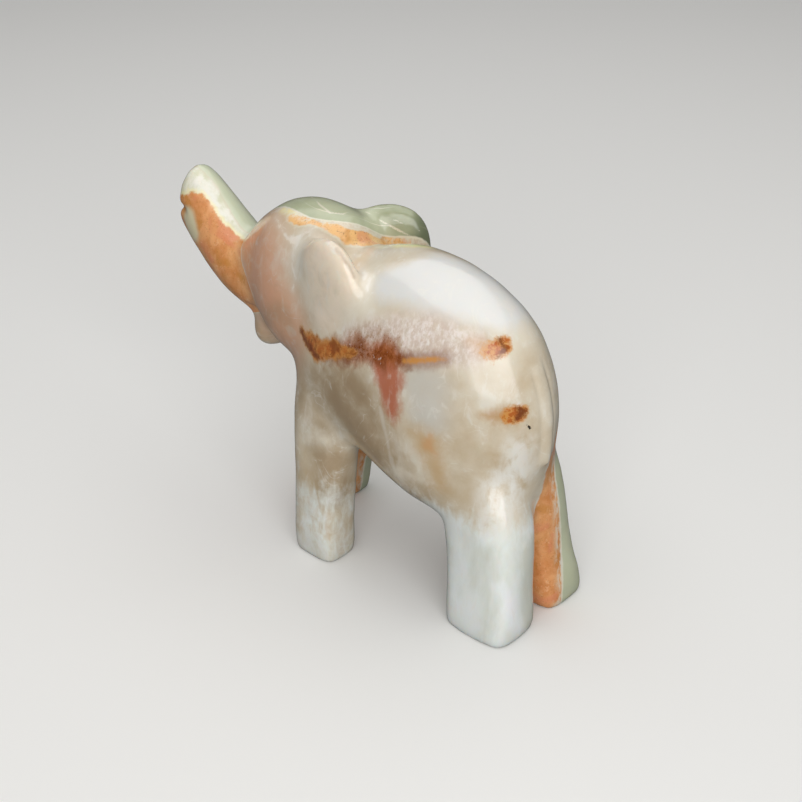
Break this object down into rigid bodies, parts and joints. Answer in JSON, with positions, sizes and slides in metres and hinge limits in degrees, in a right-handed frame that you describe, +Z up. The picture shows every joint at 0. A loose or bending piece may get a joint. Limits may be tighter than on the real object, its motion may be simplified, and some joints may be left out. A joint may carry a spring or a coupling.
{
  "type": "elephant figurine",
  "caption": "Polished banded-stone elephant figurine, standing mid-step with its trunk raised; a free-standing decorative carving.",
  "frame": {"origin": "on the ground plane, under the middle of the figure's bounding box", "axes": "+Z up; the figure faces -Y, so its tail end is at +Y; +X is the figure's own left side"},
  "size_m": [0.0406, 0.1224, 0.0895],
  "materials": {
    "white_stone": "gloss",
    "rose_stone": "gloss",
    "amber_stone": "gloss",
    "green_stone": "gloss"
  },
  "bodies": {
    "root": {"torso": "white_stone", "head": "rose_stone", "trunk": "amber_stone", "lower_lip": "rose_stone", "left_ear": "white_stone", "right_ear": "green_stone", "left_front_leg": "white_stone", "right_front_leg": "green_stone", "left_hind_leg": "white_stone", "right_hind_leg": "amber_stone", "tail": "white_stone"}
  },
  "joints": []
}
